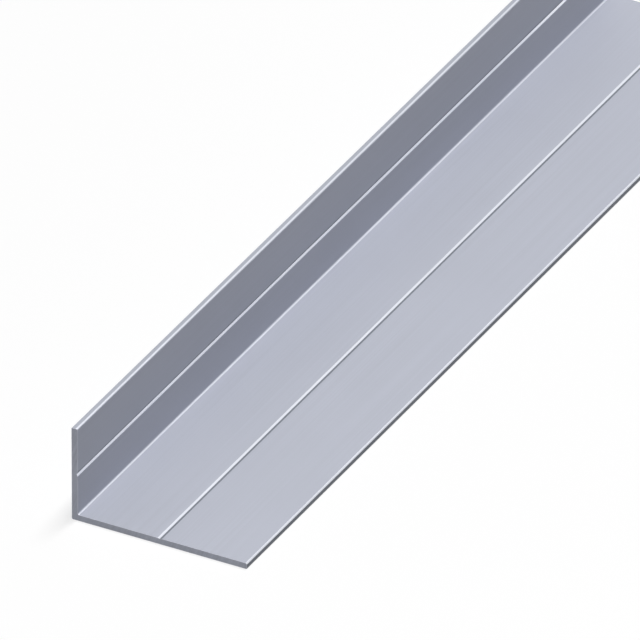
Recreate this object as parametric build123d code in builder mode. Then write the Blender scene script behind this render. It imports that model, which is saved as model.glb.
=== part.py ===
from build123d import *
import os

# Unequal angle in aluminium, extruded in one piece. Millimetres, +Z up.
# The wide leg lies flat, the standing leg rises from its -X edge, and the bar runs along Y.
# The origin is the centre of the underside, so the bar lies on Z = 0.

# Overall sizes, each over the outside of its leg
wide_leg = 43.5
standing_leg = 23.5
bar_length = 250.0

# Section
wall = 1.5
root_radius = 0.35  # concave, where the inner faces of the legs meet
heel_radius = 0.3   # convex, on the outside of the corner
toe_radius = 0.3    # convex, on both edges of each toe

# Drill lines, a shallow V along each leg's inner face, placed from the outside of the heel
wide_line = 21.9
standing_line = 11.95
line_width = 1.1
line_depth = 0.18

heel = -wide_leg / 2   # X of the standing leg's outer face


def legs():
    """Draw each leg as a plain strip. The two strips share the heel."""
    with Locations((heel, 0)):
        Rectangle(wide_leg, wall, align=Align.MIN)
        Rectangle(wall, standing_leg, align=Align.MIN)


def round_corner(sketch, x, z, radius):
    """Round the corner of the section that lies nearest to (x, z)."""
    fillet(sketch.vertices().sort_by_distance((x, z, 0))[0], radius)


def drill_line(x, z, tilt):
    """Cut a V with its mouth centred on (x, z). At tilt 0 it opens upwards."""
    half_mouth = line_width / 2
    with Locations(Location((x, z, 0), tilt)):
        Polygon((-half_mouth, 0), (0, -line_depth), (half_mouth, 0), align=None, mode=Mode.SUBTRACT)


with BuildPart() as angle_section:
    with BuildSketch(Plane.XZ) as section:
        legs()
        round_corner(section, heel + wall, wall, root_radius)
        round_corner(section, heel, 0, heel_radius)
        for z in (0, wall):
            round_corner(section, heel + wide_leg, z, toe_radius)
        for x in (heel, heel + wall):
            round_corner(section, x, standing_leg, toe_radius)
        drill_line(heel + wide_line, wall, tilt=0)
        drill_line(heel + wall, standing_line, tilt=-90)
    extrude(amount=bar_length / 2, both=True)

angle_section.part.label = "angle_section"

os.makedirs("parts", exist_ok=True)
export_step(angle_section.part, "parts/angle_section.step")
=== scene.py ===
import math
import bpy
import numpy as np
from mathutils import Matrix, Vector


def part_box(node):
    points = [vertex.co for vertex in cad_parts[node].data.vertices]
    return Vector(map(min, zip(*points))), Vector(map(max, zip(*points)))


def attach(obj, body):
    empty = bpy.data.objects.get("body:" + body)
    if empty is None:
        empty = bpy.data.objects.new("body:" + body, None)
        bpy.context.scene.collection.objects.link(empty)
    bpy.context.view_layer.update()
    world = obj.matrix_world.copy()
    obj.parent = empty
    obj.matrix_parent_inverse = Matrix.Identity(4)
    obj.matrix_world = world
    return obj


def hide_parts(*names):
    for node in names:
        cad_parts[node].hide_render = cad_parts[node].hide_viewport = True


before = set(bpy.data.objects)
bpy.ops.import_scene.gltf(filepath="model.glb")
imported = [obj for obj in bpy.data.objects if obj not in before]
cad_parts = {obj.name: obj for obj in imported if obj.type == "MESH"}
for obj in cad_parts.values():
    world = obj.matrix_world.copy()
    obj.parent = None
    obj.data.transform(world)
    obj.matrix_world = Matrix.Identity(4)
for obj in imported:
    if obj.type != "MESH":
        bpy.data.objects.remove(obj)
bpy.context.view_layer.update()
print("frame loaded")

# The bar, in metres. Its outside sizes come from its CAD node.
# Shine is how far a rounding is burnished and given a painted highlight where it starts and where it
# ends, and a shoulder is how far that runs on over the flat beside it. Painted shade is how far a flat
# is darkened where the light leaves it dark: the narrow faces on the toes of the legs, and the wall of each
# drill line on the toe's side.
angleBar = {
    "node": "angle_section",
    "wall": 0.0015,
    "heelRadius": 0.0003,
    "toeRadius": 0.00032,
    "outerToeRadius": 0.0002,
    "rootRadius": 0.00035,
    "wideLineAt": 0.0219,        # each V drill line, from the heel's outer face
    "standingLineAt": 0.01195,
    "lineWidth": 0.0011,
    "wideLineDepth": 0.00007,
    "standingLineDepth": 0.0002,
    "lineRimRadius": 0.00006,
    "lineFloorRadius": 0.00004,
    "heelShine": (0.5, 0.5),
    "wideToeShine": (0.8, 0.8),
    "standingToeShine": (0.0, 0.8),
    "rootShine": (0.8, 0.4),
    "wideLineShine": (0.8, 0.8),
    "standingLineShine": (0.95, 0.95),
    "shoulder": 0.00003,
    "topShoulder": 0.0003,       # on top of the standing leg, where the burnish and its painted highlight run furthest onto the flat
    # painted shade on the toe faces and on the toe's-side wall of each drill line
    "wideToePaintedShade": 1.0,
    "standingToePaintedShade": 0.25,
    "linePaintedShade": 1.0,
    "deburr": 0.00005,           # left by the file on the sawn ends
    "deburrShine": 0.5,
    "arcSteps": 8,
    "deburrSteps": 3,
    "stations": 50,
    "bakeGrowth": 0.8,           # under 1, narrow faces get more than their share of the bake's map
    "bakeSplit": 0.81,           # how much of its height is the bar, with the two ends above
    "bakeGap": 0.008,
}


def cornerRow(x, z, radius, shoulders, shine=(0, 0), paintedShadeAfter=0):
    # shoulders are before and after the rounding, shine (burnish and painted highlight) is at its start and
    # its end, and the last value is the painted shade on the flat that follows it
    return x, z, radius, *shine, *shoulders, paintedShadeAfter


def sectionCorners(bar, low, high):
    # corners of the section, anticlockwise as seen from the -Y end
    left, right, top, wall = low.x, high.x, high.z, bar["wall"]
    inside = left + wall
    lineX, lineZ = left + bar["wideLineAt"], bar["standingLineAt"]
    lineFloorX, lineFloorZ = inside - bar["standingLineDepth"], wall - bar["wideLineDepth"]
    half = bar["lineWidth"] / 2
    toe, outerToe = bar["toeRadius"], bar["outerToeRadius"]
    rim, floor, dark = bar["lineRimRadius"], bar["lineFloorRadius"], bar["linePaintedShade"]
    wideShine, standingShine = bar["wideLineShine"], bar["standingLineShine"]
    near = bar["shoulder"]
    both, before, after, onTop = (near, near), (near, 0), (0, near), (near, bar["topShoulder"])
    return np.array([
        cornerRow(left, 0, bar["heelRadius"], both, bar["heelShine"]),
        cornerRow(right, 0, outerToe, both, paintedShadeAfter=bar["wideToePaintedShade"]),
        cornerRow(right, wall, toe, both, bar["wideToeShine"]),
        cornerRow(lineX + half, wall, rim, before, paintedShadeAfter=dark),
        cornerRow(lineX, lineFloorZ, floor, before, wideShine),
        cornerRow(lineX - half, wall, rim, after, wideShine),
        cornerRow(inside, wall, bar["rootRadius"], both, bar["rootShine"]),
        cornerRow(inside, lineZ - half, rim, before, standingShine),
        cornerRow(lineFloorX, lineZ, floor, after, standingShine, dark),
        cornerRow(inside, lineZ + half, rim, after),
        cornerRow(inside, top, toe, onTop, bar["standingToeShine"], bar["standingToePaintedShade"]),
        cornerRow(left, top, outerToe, both),
    ])


def roundedSection(corners, steps):
    # Each corner becomes an arc that touches both of its sides:
    # centre = corner - incoming * r * tan(turn / 2) + left of incoming * r * sign(turn),
    # point(u) = centre + sign(turn) * r * outward normal of the direction turned by u * turn.
    # A point on the flat before and after each arc, a shoulder away, carries no shine.
    points, radii = corners[:, :2], corners[:, 2]
    shineStart, shineEnd, shoulderBefore, shoulderAfter, paintedShadeAfter = corners[:, 3:, None].transpose(1, 0, 2)
    incoming = points - np.roll(points, 1, axis=0)
    incoming /= np.linalg.norm(incoming, axis=1)[:, None]
    outgoing = np.roll(incoming, -1, axis=0)
    turn = np.arctan2(incoming[:, 0] * outgoing[:, 1] - incoming[:, 1] * outgoing[:, 0],
                      (incoming * outgoing).sum(1))
    side = (np.sign(turn) * radii)[:, None]
    leftward = np.stack([-incoming[:, 1], incoming[:, 0]], 1)
    centre = points - incoming * (radii * np.tan(np.abs(turn) / 2))[:, None] + leftward * side
    share = np.concatenate([[0], np.linspace(0, 1, steps + 1), [1]])
    heading = np.arctan2(incoming[:, 1], incoming[:, 0])[:, None] + turn[:, None] * share
    normal = np.stack([np.sin(heading), -np.cos(heading)], -1)
    outline = centre[:, None] + side[:, :, None] * normal
    outline[:, 0] -= incoming * shoulderBefore
    outline[:, -1] += outgoing * shoulderAfter
    shine = shineStart * (1 - share) + shineEnd * share
    shine[:, [0, -1]] = 0
    # painted shade runs round each arc from the flat before it to the flat after it
    paintedShade = np.roll(paintedShadeAfter, 1, axis=0) * (1 - share) + paintedShadeAfter * share
    kept = np.ones(shine.shape, bool)
    kept[:, [0, -1]] = np.hstack([shoulderBefore, shoulderAfter]) > 0
    return outline[kept], normal[kept], shine[kept], paintedShade[kept]


def barStations(bar, low, high):
    # How the section is carried along Y: each station has a place, an inset of the outline and
    # a lean of its normal towards the end. Each end turns a quarter circle of radius e:
    # inset = e * (1 - sin t), place = end + e * (1 - cos t), lean = cos t.
    t = np.linspace(0, math.pi / 2, bar["deburrSteps"] + 1)
    e = bar["deburr"]
    body = np.linspace(low.y + e, high.y - e, bar["stations"])[1:-1]
    place = np.concatenate([low.y + e * (1 - np.cos(t)), body, high.y - e * (1 - np.cos(t[::-1]))])
    inset = np.concatenate([e * (1 - np.sin(t)), 0 * body, e * (1 - np.sin(t[::-1]))])
    lean = np.concatenate([-np.cos(t), 0 * body, np.cos(t[::-1])])
    return place, inset, lean


def carriedSection(outline, normal, place, inset, lean):
    # surface(u, v) = outline(u) - normal(u) * inset(v) at place(v) along Y,
    # normal(u, v) = normal(u) * sqrt(1 - lean(v)^2) + Y * lean(v)
    verts = np.empty((len(place), len(outline), 3))
    verts[:, :, [0, 2]] = outline - normal * inset[:, None, None]
    verts[:, :, 1] = place[:, None]
    normals = np.empty_like(verts)
    normals[:, :, [0, 2]] = normal * np.sqrt(1 - lean ** 2)[:, None, None]
    normals[:, :, 1] = lean[:, None]
    return verts.reshape(-1, 3), normals.reshape(-1, 3)


def barFaces(rows, count):
    # a quad between neighbours round the section and along the bar, and one face on each end
    here = np.arange(count)
    after = (here + 1) % count
    row = np.arange(rows - 1)[:, None] * count
    quads = np.stack([row + here, row + count + here, row + count + after, row + after], -1)
    return quads.reshape(-1, 4), np.stack([here, here[::-1] + (rows - 1) * count])


def sideMap(across, along):
    # corners of every quad of the grid, in the order that barFaces winds them
    quads = np.empty((len(along) - 1, len(across) - 1, 4, 2))
    quads[..., 0] = np.stack([across[:-1], across[:-1], across[1:], across[1:]], -1)
    quads[..., [0, 3], 1] = along[:-1, None, None]
    quads[..., [1, 2], 1] = along[1:, None, None]
    return quads


def bakeMap(bar, steps, place, endPlaces):
    # A map without overlaps from 0 to 1. across(u) grows by step^growth at each step round the
    # section, and the ends stand side by side above the bar.
    gap, split = bar["bakeGap"], bar["bakeSplit"]
    across = np.append(0, np.cumsum(steps ** bar["bakeGrowth"]))
    along = (place - place[0]) / np.ptp(place)
    side = sideMap(gap + (1 - 2 * gap) * across / across[-1], gap + (split - 2 * gap) * along)
    low, high = endPlaces.min(axis=(0, 1)), endPlaces.max(axis=(0, 1))
    size = np.array([0.5 - 2 * gap, 1 - split - gap])
    start = np.array([[[gap, split]], [[0.5 + gap, split]]])
    return side, start + (endPlaces - low) / (high - low) * size


def addMaps(mesh, maps):
    # each map is the corners of the quads and of the two ends; the first is the one rendered
    for layer, parts in maps.items():
        places = np.concatenate([part.reshape(-1, 2) for part in parts]).astype(np.float32)
        mesh.uv_layers.new(name=layer).uv.foreach_set("vector", places.ravel())
    mesh.uv_layers.active = mesh.uv_layers[0]


def barObject(name, bar):
    # burnish and painted highlight(u, v) = max(shine(u), deburrShine * |lean(v)|)
    low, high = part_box(bar["node"])
    outline, normal, shine, paintedShade = roundedSection(sectionCorners(bar, low, high), bar["arcSteps"])
    place, inset, lean = barStations(bar, low, high)
    verts, normals = carriedSection(outline, normal, place, inset, lean)
    rows = len(place)
    quads, ends = barFaces(rows, len(outline))
    mesh = bpy.data.meshes.new(name)
    mesh.from_pydata(verts.tolist(), [], quads.tolist() + ends.tolist())
    mesh.update()

    # the section unrolled, in metres: how far round it, how far along the bar
    steps = np.linalg.norm(np.roll(outline, -1, axis=0) - outline, axis=1)
    endPlaces = verts[ends][:, :, [0, 2]]
    unrolled = (sideMap(np.append(0, np.cumsum(steps)), place), endPlaces)
    addMaps(mesh, {"unrolled": unrolled, "OFBake": bakeMap(bar, steps, place, endPlaces)})

    faces = len(mesh.polygons)
    sawnFaces = np.zeros(faces, np.int32)
    sawnFaces[-len(ends):] = 1
    mesh.polygons.foreach_set("material_index", sawnFaces)
    mesh.polygons.foreach_set("use_smooth", np.ones(faces, bool))
    # the burnish with its painted highlight, and the painted shade, are stored on each point
    burnishAndHighlight = np.maximum(shine, bar["deburrShine"] * np.abs(lean)[:, None])
    for finish, values in {"burnishAndHighlight": burnishAndHighlight, "paintedShade": np.tile(paintedShade, (rows, 1))}.items():
        attribute = mesh.attributes.new(finish, "FLOAT", "POINT")
        attribute.data.foreach_set("value", values.astype(np.float32).ravel())
    mesh.normals_split_custom_set_from_vertices(normals.tolist())
    obj = bpy.data.objects.new(name, mesh)
    bpy.context.scene.collection.objects.link(obj)
    return obj


bar = barObject("angle_bar", angleBar)
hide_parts(angleBar["node"])
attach(bar, "root")
print("bar made:", len(bar.data.vertices), "vertices")


def nodeOf(tree, kind, settings=None, **inputs):
    # A node with its settings and inputs. An input goes by its name, or by its number as i0,
    # and is linked if it is given a socket.
    node = tree.nodes.new(kind)
    for key, value in (settings or {}).items():
        setattr(node, key, value)
    for key, value in inputs.items():
        number = key[1:]
        socket = node.inputs[int(number) if number.isdigit() else key]
        if isinstance(value, bpy.types.NodeSocket):
            tree.links.new(value, socket)
        else:
            socket.default_value = value
    return node


def maths(tree, operation, a, b=0.0):
    return nodeOf(tree, "ShaderNodeMath", {"operation": operation}, i0=a, i1=b).outputs[0]


def ramp(tree, value, low, high, outLow, outHigh):
    node = nodeOf(tree, "ShaderNodeMapRange", i0=value, i1=low, i2=high, i3=outLow, i4=outHigh)
    return node.outputs[0]


noiseSpan = (0.3, 0.7)        # nearly all of the noise lies between these


def swing(tree, noise, middle, reach):
    # noise spread out to run from middle - reach to middle + reach
    return ramp(tree, noise, *noiseSpan, middle - reach, middle + reach)


def blendColours(tree, share, first, second):
    return nodeOf(tree, "ShaderNodeMix", {"data_type": "RGBA"}, i0=share, i6=first, i7=second).outputs[2]


def scaleColour(tree, colour, scale):
    return nodeOf(tree, "ShaderNodeVectorMath", {"operation": "SCALE"}, i0=colour, Scale=scale).outputs[0]


def newGroup(name, inputs, output):
    # a shader node group; inputs maps the name of each socket to its type
    tree = bpy.data.node_groups.new(name, "ShaderNodeTree")
    for key, kind in inputs.items():
        tree.interface.new_socket(key, in_out="INPUT", socket_type=kind)
    tree.interface.new_socket(output, in_out="OUTPUT", socket_type="NodeSocketFloat")
    return tree, tree.nodes.new("NodeGroupInput").outputs, tree.nodes.new("NodeGroupOutput").inputs[0]


linePattern = {
    "detail": 2.0,
    "broadScale": 0.25,       # a second set of lines is four times as wide
    "broadShare": 0.33,
    "broadSlice": 3.0,        # and comes from another part of the noise
}


def fineLinesGroup(look):
    # Fine parallel lines, as a die or a saw leaves them: noise squeezed to Pitch across
    # the lines and stretched to Run along them, mixed with a broader set of the same.
    sockets = {"Place": "NodeSocketVector", "Pitch": "NodeSocketFloat", "Run": "NodeSocketFloat"}
    tree, given, out = newGroup("fineLines", sockets, "Lines")
    parts = nodeOf(tree, "ShaderNodeSeparateXYZ", Vector=given["Place"]).outputs
    across = maths(tree, "DIVIDE", parts["X"], given["Pitch"])
    along = maths(tree, "DIVIDE", parts["Y"], given["Run"])

    def lines(x, z, share):
        here = nodeOf(tree, "ShaderNodeCombineXYZ", X=x, Y=along, Z=z).outputs[0]
        noise = nodeOf(tree, "ShaderNodeTexNoise", Vector=here, Scale=1.0, Detail=look["detail"])
        return maths(tree, "MULTIPLY", noise.outputs[0], share)

    fine = lines(across, 0.0, 1 - look["broadShare"])
    wider = maths(tree, "MULTIPLY", across, look["broadScale"])
    broad = lines(wider, look["broadSlice"], look["broadShare"])
    tree.links.new(maths(tree, "ADD", fine, broad), out)
    return tree


mottlePattern = {"detail": 3.0, "roughness": 0.55}


def mottleGroup(look):
    # soft uneven patches of about Size across
    sockets = {"Place": "NodeSocketVector", "Size": "NodeSocketFloat"}
    tree, given, out = newGroup("mottle", sockets, "Patches")
    scale = maths(tree, "DIVIDE", 1.0, given["Size"])
    noise = nodeOf(tree, "ShaderNodeTexNoise", Vector=given["Place"], Scale=scale,
                   Detail=look["detail"], Roughness=look["roughness"])
    tree.links.new(noise.outputs[0], out)
    return tree


fineLines = fineLinesGroup(linePattern)
mottle = mottleGroup(mottlePattern)


def useGroup(tree, group, **inputs):
    return nodeOf(tree, "ShaderNodeGroup", {"node_tree": group}, **inputs).outputs[0]


def newMaterial(name):
    material = bpy.data.materials.new(name)
    material.use_nodes = True
    tree = material.node_tree
    return material, tree, tree.nodes["Principled BSDF"]


def setPlain(shader, values):
    # values that are the same all over the surface
    for key, value in values.items():
        shader.inputs[key].default_value = value


def onPiece(tree):
    return nodeOf(tree, "ShaderNodeTexCoord").outputs["Object"]


def onUnrolled(tree):
    return nodeOf(tree, "ShaderNodeUVMap", {"uv_map": "unrolled"}).outputs[0]


def finishMask(tree, name):
    return nodeOf(tree, "ShaderNodeAttribute", {"attribute_name": name}).outputs["Fac"]


def addBump(tree, shader, height, distance, strength=1.0):
    bump = nodeOf(tree, "ShaderNodeBump", Strength=strength, Distance=distance, Height=height)
    tree.links.new(bump.outputs[0], shader.inputs["Normal"])


# the bar's finish as it leaves the die: satin flats, burnished where it is rounded, with a painted
# highlight on the roundings and one wall of each drill line
satin = {
    "colour": (0.472, 0.491, 0.560, 1),
    # the burnished colour is bright polished metal and also a painted highlight; the dark colour is painted
    # shade for the toe faces and one wall of each drill line
    "burnishedHighlightColour": (0.838, 0.864, 0.935, 1),
    "paintedShadeColour": (0.217, 0.235, 0.272, 1),
    "metallic": 0.3,
    "specular": 0.3,
    "roughness": 0.6,
    "burnishedRoughness": 0.25,
    "linePitch": 0.00022,
    "lineRun": 0.09,
    "lineShade": 0.05,        # how much the die lines darken and lighten
    "lineRoughness": 0.08,
    "lineHeight": 0.000004,
    "burnishedLines": 0.2,    # how much of that height is left where it is burnished
    "patchSize": 0.03,
    "patchShade": 0.01,
    "patchRoughness": 0.02,
    "wearAndHighlightPatch": 0.015,
    "wearAndHighlightSpan": (0.35, 0.6),  # the part of the noise over which the burnish and its painted highlight give way
    "wearAndHighlightBreak": 0.05,        # how unevenly the edges are burnished and given a painted highlight
}


def satinMaterial(look):
    material, tree, shader = newMaterial("satinAluminium")
    place = onPiece(tree)
    lines = useGroup(tree, fineLines, Place=onUnrolled(tree), Pitch=look["linePitch"], Run=look["lineRun"])
    patches = useGroup(tree, mottle, Place=place, Size=look["patchSize"])
    rubbedAndHighlit = useGroup(tree, mottle, Place=place, Size=look["wearAndHighlightPatch"])
    unbroken = ramp(tree, rubbedAndHighlit, *look["wearAndHighlightSpan"], 1 - look["wearAndHighlightBreak"], 1.0)
    wornAndHighlit = maths(tree, "MULTIPLY", finishMask(tree, "burnishAndHighlight"), unbroken)

    shade = maths(tree, "MULTIPLY", swing(tree, lines, 1.0, look["lineShade"]),
                  swing(tree, patches, 1.0, look["patchShade"]))
    # painted shade: the toe faces and one wall of each drill line are blended towards a dark colour
    plain = blendColours(tree, finishMask(tree, "paintedShade"), look["colour"], look["paintedShadeColour"])
    flat = scaleColour(tree, plain, shade)
    # the burnish mask lightens the colour: burnished metal and a painted highlight
    tree.links.new(blendColours(tree, wornAndHighlit, flat, look["burnishedHighlightColour"]), shader.inputs["Base Color"])
    tree.links.new(ramp(tree, wornAndHighlit, 0.0, 1.0, look["metallic"], 1.0), shader.inputs["Metallic"])

    uneven = maths(tree, "ADD", swing(tree, lines, 0.0, look["lineRoughness"]),
                   swing(tree, patches, look["roughness"], look["patchRoughness"]))
    smoothed = maths(tree, "MULTIPLY", wornAndHighlit, look["roughness"] - look["burnishedRoughness"])
    tree.links.new(maths(tree, "SUBTRACT", uneven, smoothed), shader.inputs["Roughness"])

    relief = ramp(tree, wornAndHighlit, 0.0, 1.0, 1.0, look["burnishedLines"])
    addBump(tree, shader, lines, look["lineHeight"], relief)
    setPlain(shader, {"Specular IOR Level": look["specular"]})
    return material


# the two ends, as the saw left them; their colour is darker than the satin's, partly the sawn finish and
# partly painted shade
sawn = {
    "colour": (0.38, 0.397, 0.460),
    "metallic": 0.5,
    "specular": 0.3,
    "roughness": 0.55,
    "markPitch": 0.00045,
    "markRun": 0.012,
    "markLean": 0.35,         # radians that the saw marks lean from upright
    "markShade": 0.14,
    "markRoughness": 0.08,
    "markHeight": 0.000012,
    "patchSize": 0.008,
    "patchShade": 0.05,
}


def sawnMaterial(look):
    material, tree, shader = newMaterial("sawnAluminiumPaintedShade")
    lean = (0, 0, look["markLean"])
    leaning = nodeOf(tree, "ShaderNodeMapping", Vector=onUnrolled(tree), Rotation=lean).outputs[0]
    marks = useGroup(tree, fineLines, Place=leaning, Pitch=look["markPitch"], Run=look["markRun"])
    patches = useGroup(tree, mottle, Place=onPiece(tree), Size=look["patchSize"])
    shade = maths(tree, "MULTIPLY", swing(tree, marks, 1.0, look["markShade"]),
                  swing(tree, patches, 1.0, look["patchShade"]))
    # the darker end colour is partly the sawn finish and partly painted shade
    tree.links.new(scaleColour(tree, look["colour"], shade), shader.inputs["Base Color"])
    rough = swing(tree, marks, look["roughness"], look["markRoughness"])
    tree.links.new(rough, shader.inputs["Roughness"])
    addBump(tree, shader, marks, look["markHeight"])
    setPlain(shader, {"Metallic": look["metallic"], "Specular IOR Level": look["specular"]})
    return material


bar.data.materials.append(satinMaterial(satin))
bar.data.materials.append(sawnMaterial(sawn))
print("materials made")

# a pale floor under one strip softbox that lies along the bar, with a little light from all round
studio = {
    "floorColour": 0.4,
    "floorGlow": 0.62,        # added where the camera or a reflection sees the floor
    "lampReach": 1.5,         # how far over the floor the lamp lights it
    "floorSize": 8.0,
    "floorDrop": 0.00002,
    "skyLight": 0.15,
    "boxTowards": (0.10, 0.0, 0.995),
    "boxDistance": 1.5,
    "boxSize": (1.6, 0.3),    # along the bar and across it
    "boxRadiance": 14.4,
}
white = (1, 1, 1, 1)


def seenRays(tree):
    # 1 for rays from the camera, from reflections and through glass, 0 for diffuse ones
    rays = nodeOf(tree, "ShaderNodeLightPath").outputs
    mirrored = maths(tree, "MAXIMUM", rays["Is Glossy Ray"], rays["Is Transmission Ray"])
    return maths(tree, "MAXIMUM", rays["Is Camera Ray"], mirrored)


def floorGlow(tree, look):
    # glow(d) = 1 - (1 - floorGlow) / (1 + (d / reach)^2)^2: it makes up for the lamp's fall-off
    away = nodeOf(tree, "ShaderNodeVectorMath", {"operation": "LENGTH"}, i0=onPiece(tree)).outputs["Value"]
    ratio = maths(tree, "DIVIDE", away, look["lampReach"])
    spread = maths(tree, "ADD", maths(tree, "MULTIPLY", ratio, ratio), 1.0)
    lit = maths(tree, "DIVIDE", 1 - look["floorGlow"], maths(tree, "MULTIPLY", spread, spread))
    return maths(tree, "SUBTRACT", 1.0, lit)


def makeFloor(look):
    half, z = look["floorSize"] / 2, -look["floorDrop"]
    mesh = bpy.data.meshes.new("floor")
    mesh.from_pydata([(-half, -half, z), (half, -half, z), (half, half, z), (-half, half, z)],
                     [], [(0, 1, 2, 3)])
    floor = bpy.data.objects.new("floor", mesh)
    bpy.context.scene.collection.objects.link(floor)
    material, tree, shader = newMaterial("paleFloor")
    grey = look["floorColour"]
    setPlain(shader, {"Base Color": (grey, grey, grey, 1), "Roughness": 1.0,
                      "Specular IOR Level": 0.0, "Emission Color": white})
    glow = maths(tree, "MULTIPLY", seenRays(tree), floorGlow(tree, look))
    tree.links.new(glow, shader.inputs["Emission Strength"])
    mesh.materials.append(material)


def makeWorld(look):
    # light from above that falls off towards the horizon, and plain white where it is seen
    world = bpy.data.worlds.new("studio")
    bpy.context.scene.world = world
    world.use_nodes = True
    tree = world.node_tree
    towards = nodeOf(tree, "ShaderNodeTexCoord").outputs["Generated"]
    height = nodeOf(tree, "ShaderNodeSeparateXYZ", Vector=towards).outputs["Z"]
    sky = maths(tree, "MULTIPLY", maths(tree, "MAXIMUM", height, 0.0), look["skyLight"])
    strength = nodeOf(tree, "ShaderNodeMix", {"data_type": "FLOAT"}, i0=seenRays(tree), i2=sky, i3=1.0)
    background = tree.nodes["Background"].inputs
    background["Color"].default_value = white
    tree.links.new(strength.outputs[0], background["Strength"])


def makeSoftbox(look):
    # energy = pi * area * radiance, so that radiance 1 would look white
    lamp = bpy.data.lights.new("softbox", "AREA")
    lamp.shape = "RECTANGLE"
    lamp.size, lamp.size_y = look["boxSize"]
    lamp.energy = math.pi * math.prod(look["boxSize"]) * look["boxRadiance"]
    box = bpy.data.objects.new("softbox", lamp)
    bpy.context.scene.collection.objects.link(box)
    towards = Vector(look["boxTowards"]).normalized()
    box.location = towards * look["boxDistance"]
    box.rotation_euler = towards.to_track_quat("Z", "Y").to_euler()


makeFloor(studio)
makeWorld(studio)
makeSoftbox(studio)
print("studio made")

view = {
    "azimuth": 28.29,
    "elevation": 31.77,
    "aim": (-0.01197, -0.02867, 0.0015),
    "distance": 6.4818,
    "lens": 1650,             # a very long lens, so that the bar's long edges stay parallel
    "clip": (0.1, 40.0),
}


def makeCamera(look):
    turn, rise = math.radians(look["azimuth"]), math.radians(look["elevation"])
    back = Vector((math.sin(turn) * math.cos(rise), -math.cos(turn) * math.cos(rise), math.sin(rise)))
    camera = bpy.data.cameras.new("camera")
    camera.lens = look["lens"]
    camera.clip_start, camera.clip_end = look["clip"]
    obj = bpy.data.objects.new("camera", camera)
    bpy.context.scene.collection.objects.link(obj)
    obj.location = Vector(look["aim"]) + back * look["distance"]
    obj.rotation_euler = back.to_track_quat("Z", "Y").to_euler()
    bpy.context.scene.camera = obj


makeCamera(view)
bpy.context.scene.view_settings.view_transform = "Standard"
print("camera made")
